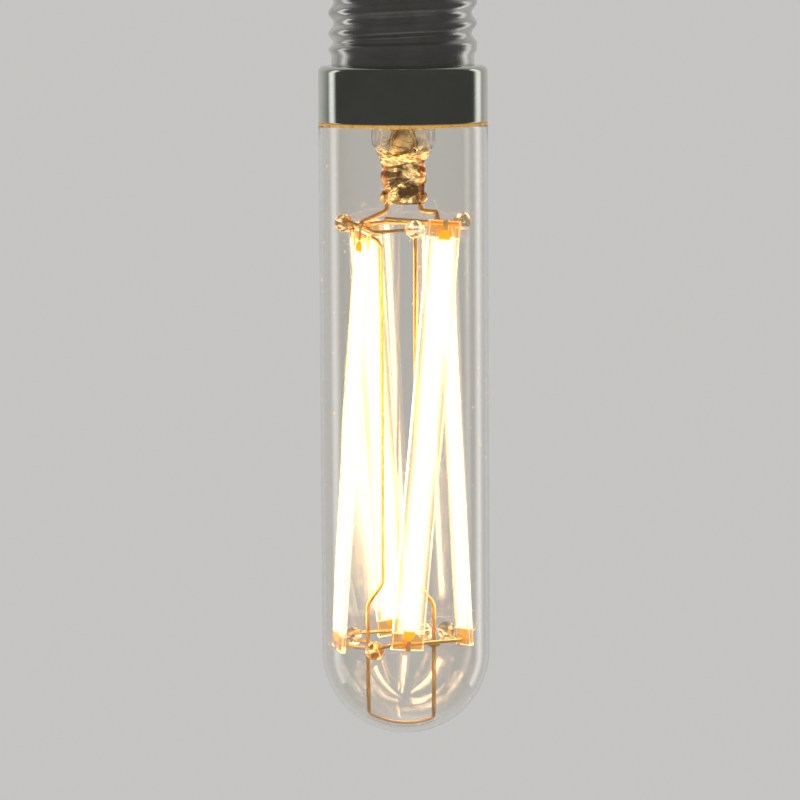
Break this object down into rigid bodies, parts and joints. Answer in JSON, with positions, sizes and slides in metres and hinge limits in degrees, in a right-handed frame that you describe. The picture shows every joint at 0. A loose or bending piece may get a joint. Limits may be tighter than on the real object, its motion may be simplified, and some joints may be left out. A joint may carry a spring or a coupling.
{
  "type": "led tube bulb",
  "caption": "Tubular LED filament lamp: clear domed glass tube on an E27 screw cap, with flat filaments in a twisted cage on bent wires.",
  "frame": {"origin": "on the lamp's axis, at the outer face of the centre contact", "axes": "+Z along the lamp's axis towards the cap, so that the lamp hangs cap up as in the picture; -Y towards the viewer, +X to the picture's right"},
  "size_m": [0.03, 0.03, 0.145],
  "materials": {
    "clear_glass": "clear polished glass, faintly warm",
    "stem_glass": "flame-worked lead-free glass, lumpy in the press",
    "bead_glass": "fire-polished glass bead",
    "strip_glass": "clear cut plate",
    "phosphor": "silicone loaded with phosphor, lit warm white",
    "clip_metal": "thin stamped strip, straw-brown from the weld",
    "cage_wire": "drawn nickel-plated wire",
    "seal_wire": "copper-clad seal wire, oxidised red",
    "tinned_wire": "tinned copper wire",
    "collar_plate": "bright nickel plate",
    "cement": "baked capping cement, amber",
    "shell_metal": "nickel-plated rolled shell",
    "insulator": "black moulded insulator",
    "contact_metal": "nickel-plated brass",
    "board": "glass-epoxy board with solder mask",
    "chip_resin": "moulded epoxy",
    "capacitor_sleeve": "aluminium can in a dark sleeve",
    "ferrite": "sintered ferrite",
    "copper_winding": "enamelled copper wire",
    "resistor_coat": "flameproof coat",
    "red_insulation": "insulated hook-up wire",
    "blue_insulation": "insulated hook-up wire"
  },
  "bodies": {
    "root": {"glass_envelope": "clear_glass", "stem": "stem_glass", "exhaust_tube": "stem_glass", "collar": "collar_plate", "collar_cement": "cement", "screw_shell": "shell_metal", "insulator": "insulator", "centre_contact": "contact_metal", "support_wire": "cage_wire", "left_lead": "cage_wire", "right_lead": "cage_wire", "left_seal_wire": "seal_wire", "right_seal_wire": "seal_wire", "left_outer_lead": "tinned_wire", "right_outer_lead": "tinned_wire", "upper_wire_front": "cage_wire", "upper_wire_rear": "cage_wire", "upper_wire_left": "cage_wire", "lower_wire_front": "cage_wire", "lower_wire_rear": "cage_wire", "cross_wires": "cage_wire", "upper_beads": "bead_glass", "lower_beads": "bead_glass", "filament_strip_1": "strip_glass", "filament_strip_2": "strip_glass", "filament_strip_3": "strip_glass", "filament_strip_4": "strip_glass", "filament_phosphor_1": "phosphor", "filament_phosphor_2": "phosphor", "filament_phosphor_3": "phosphor", "filament_phosphor_4": "phosphor", "filament_clips_1": "clip_metal", "filament_clips_2": "clip_metal", "filament_clips_3": "clip_metal", "filament_clips_4": "clip_metal", "driver_board": "board", "bridge_rectifier": "chip_resin", "driver_chip": "chip_resin", "smoothing_capacitor": "capacitor_sleeve", "choke_core": "ferrite", "choke_winding": "copper_winding", "fusible_resistor": "resistor_coat", "contact_wire": "red_insulation", "shell_wire": "blue_insulation"}
  },
  "joints": []
}
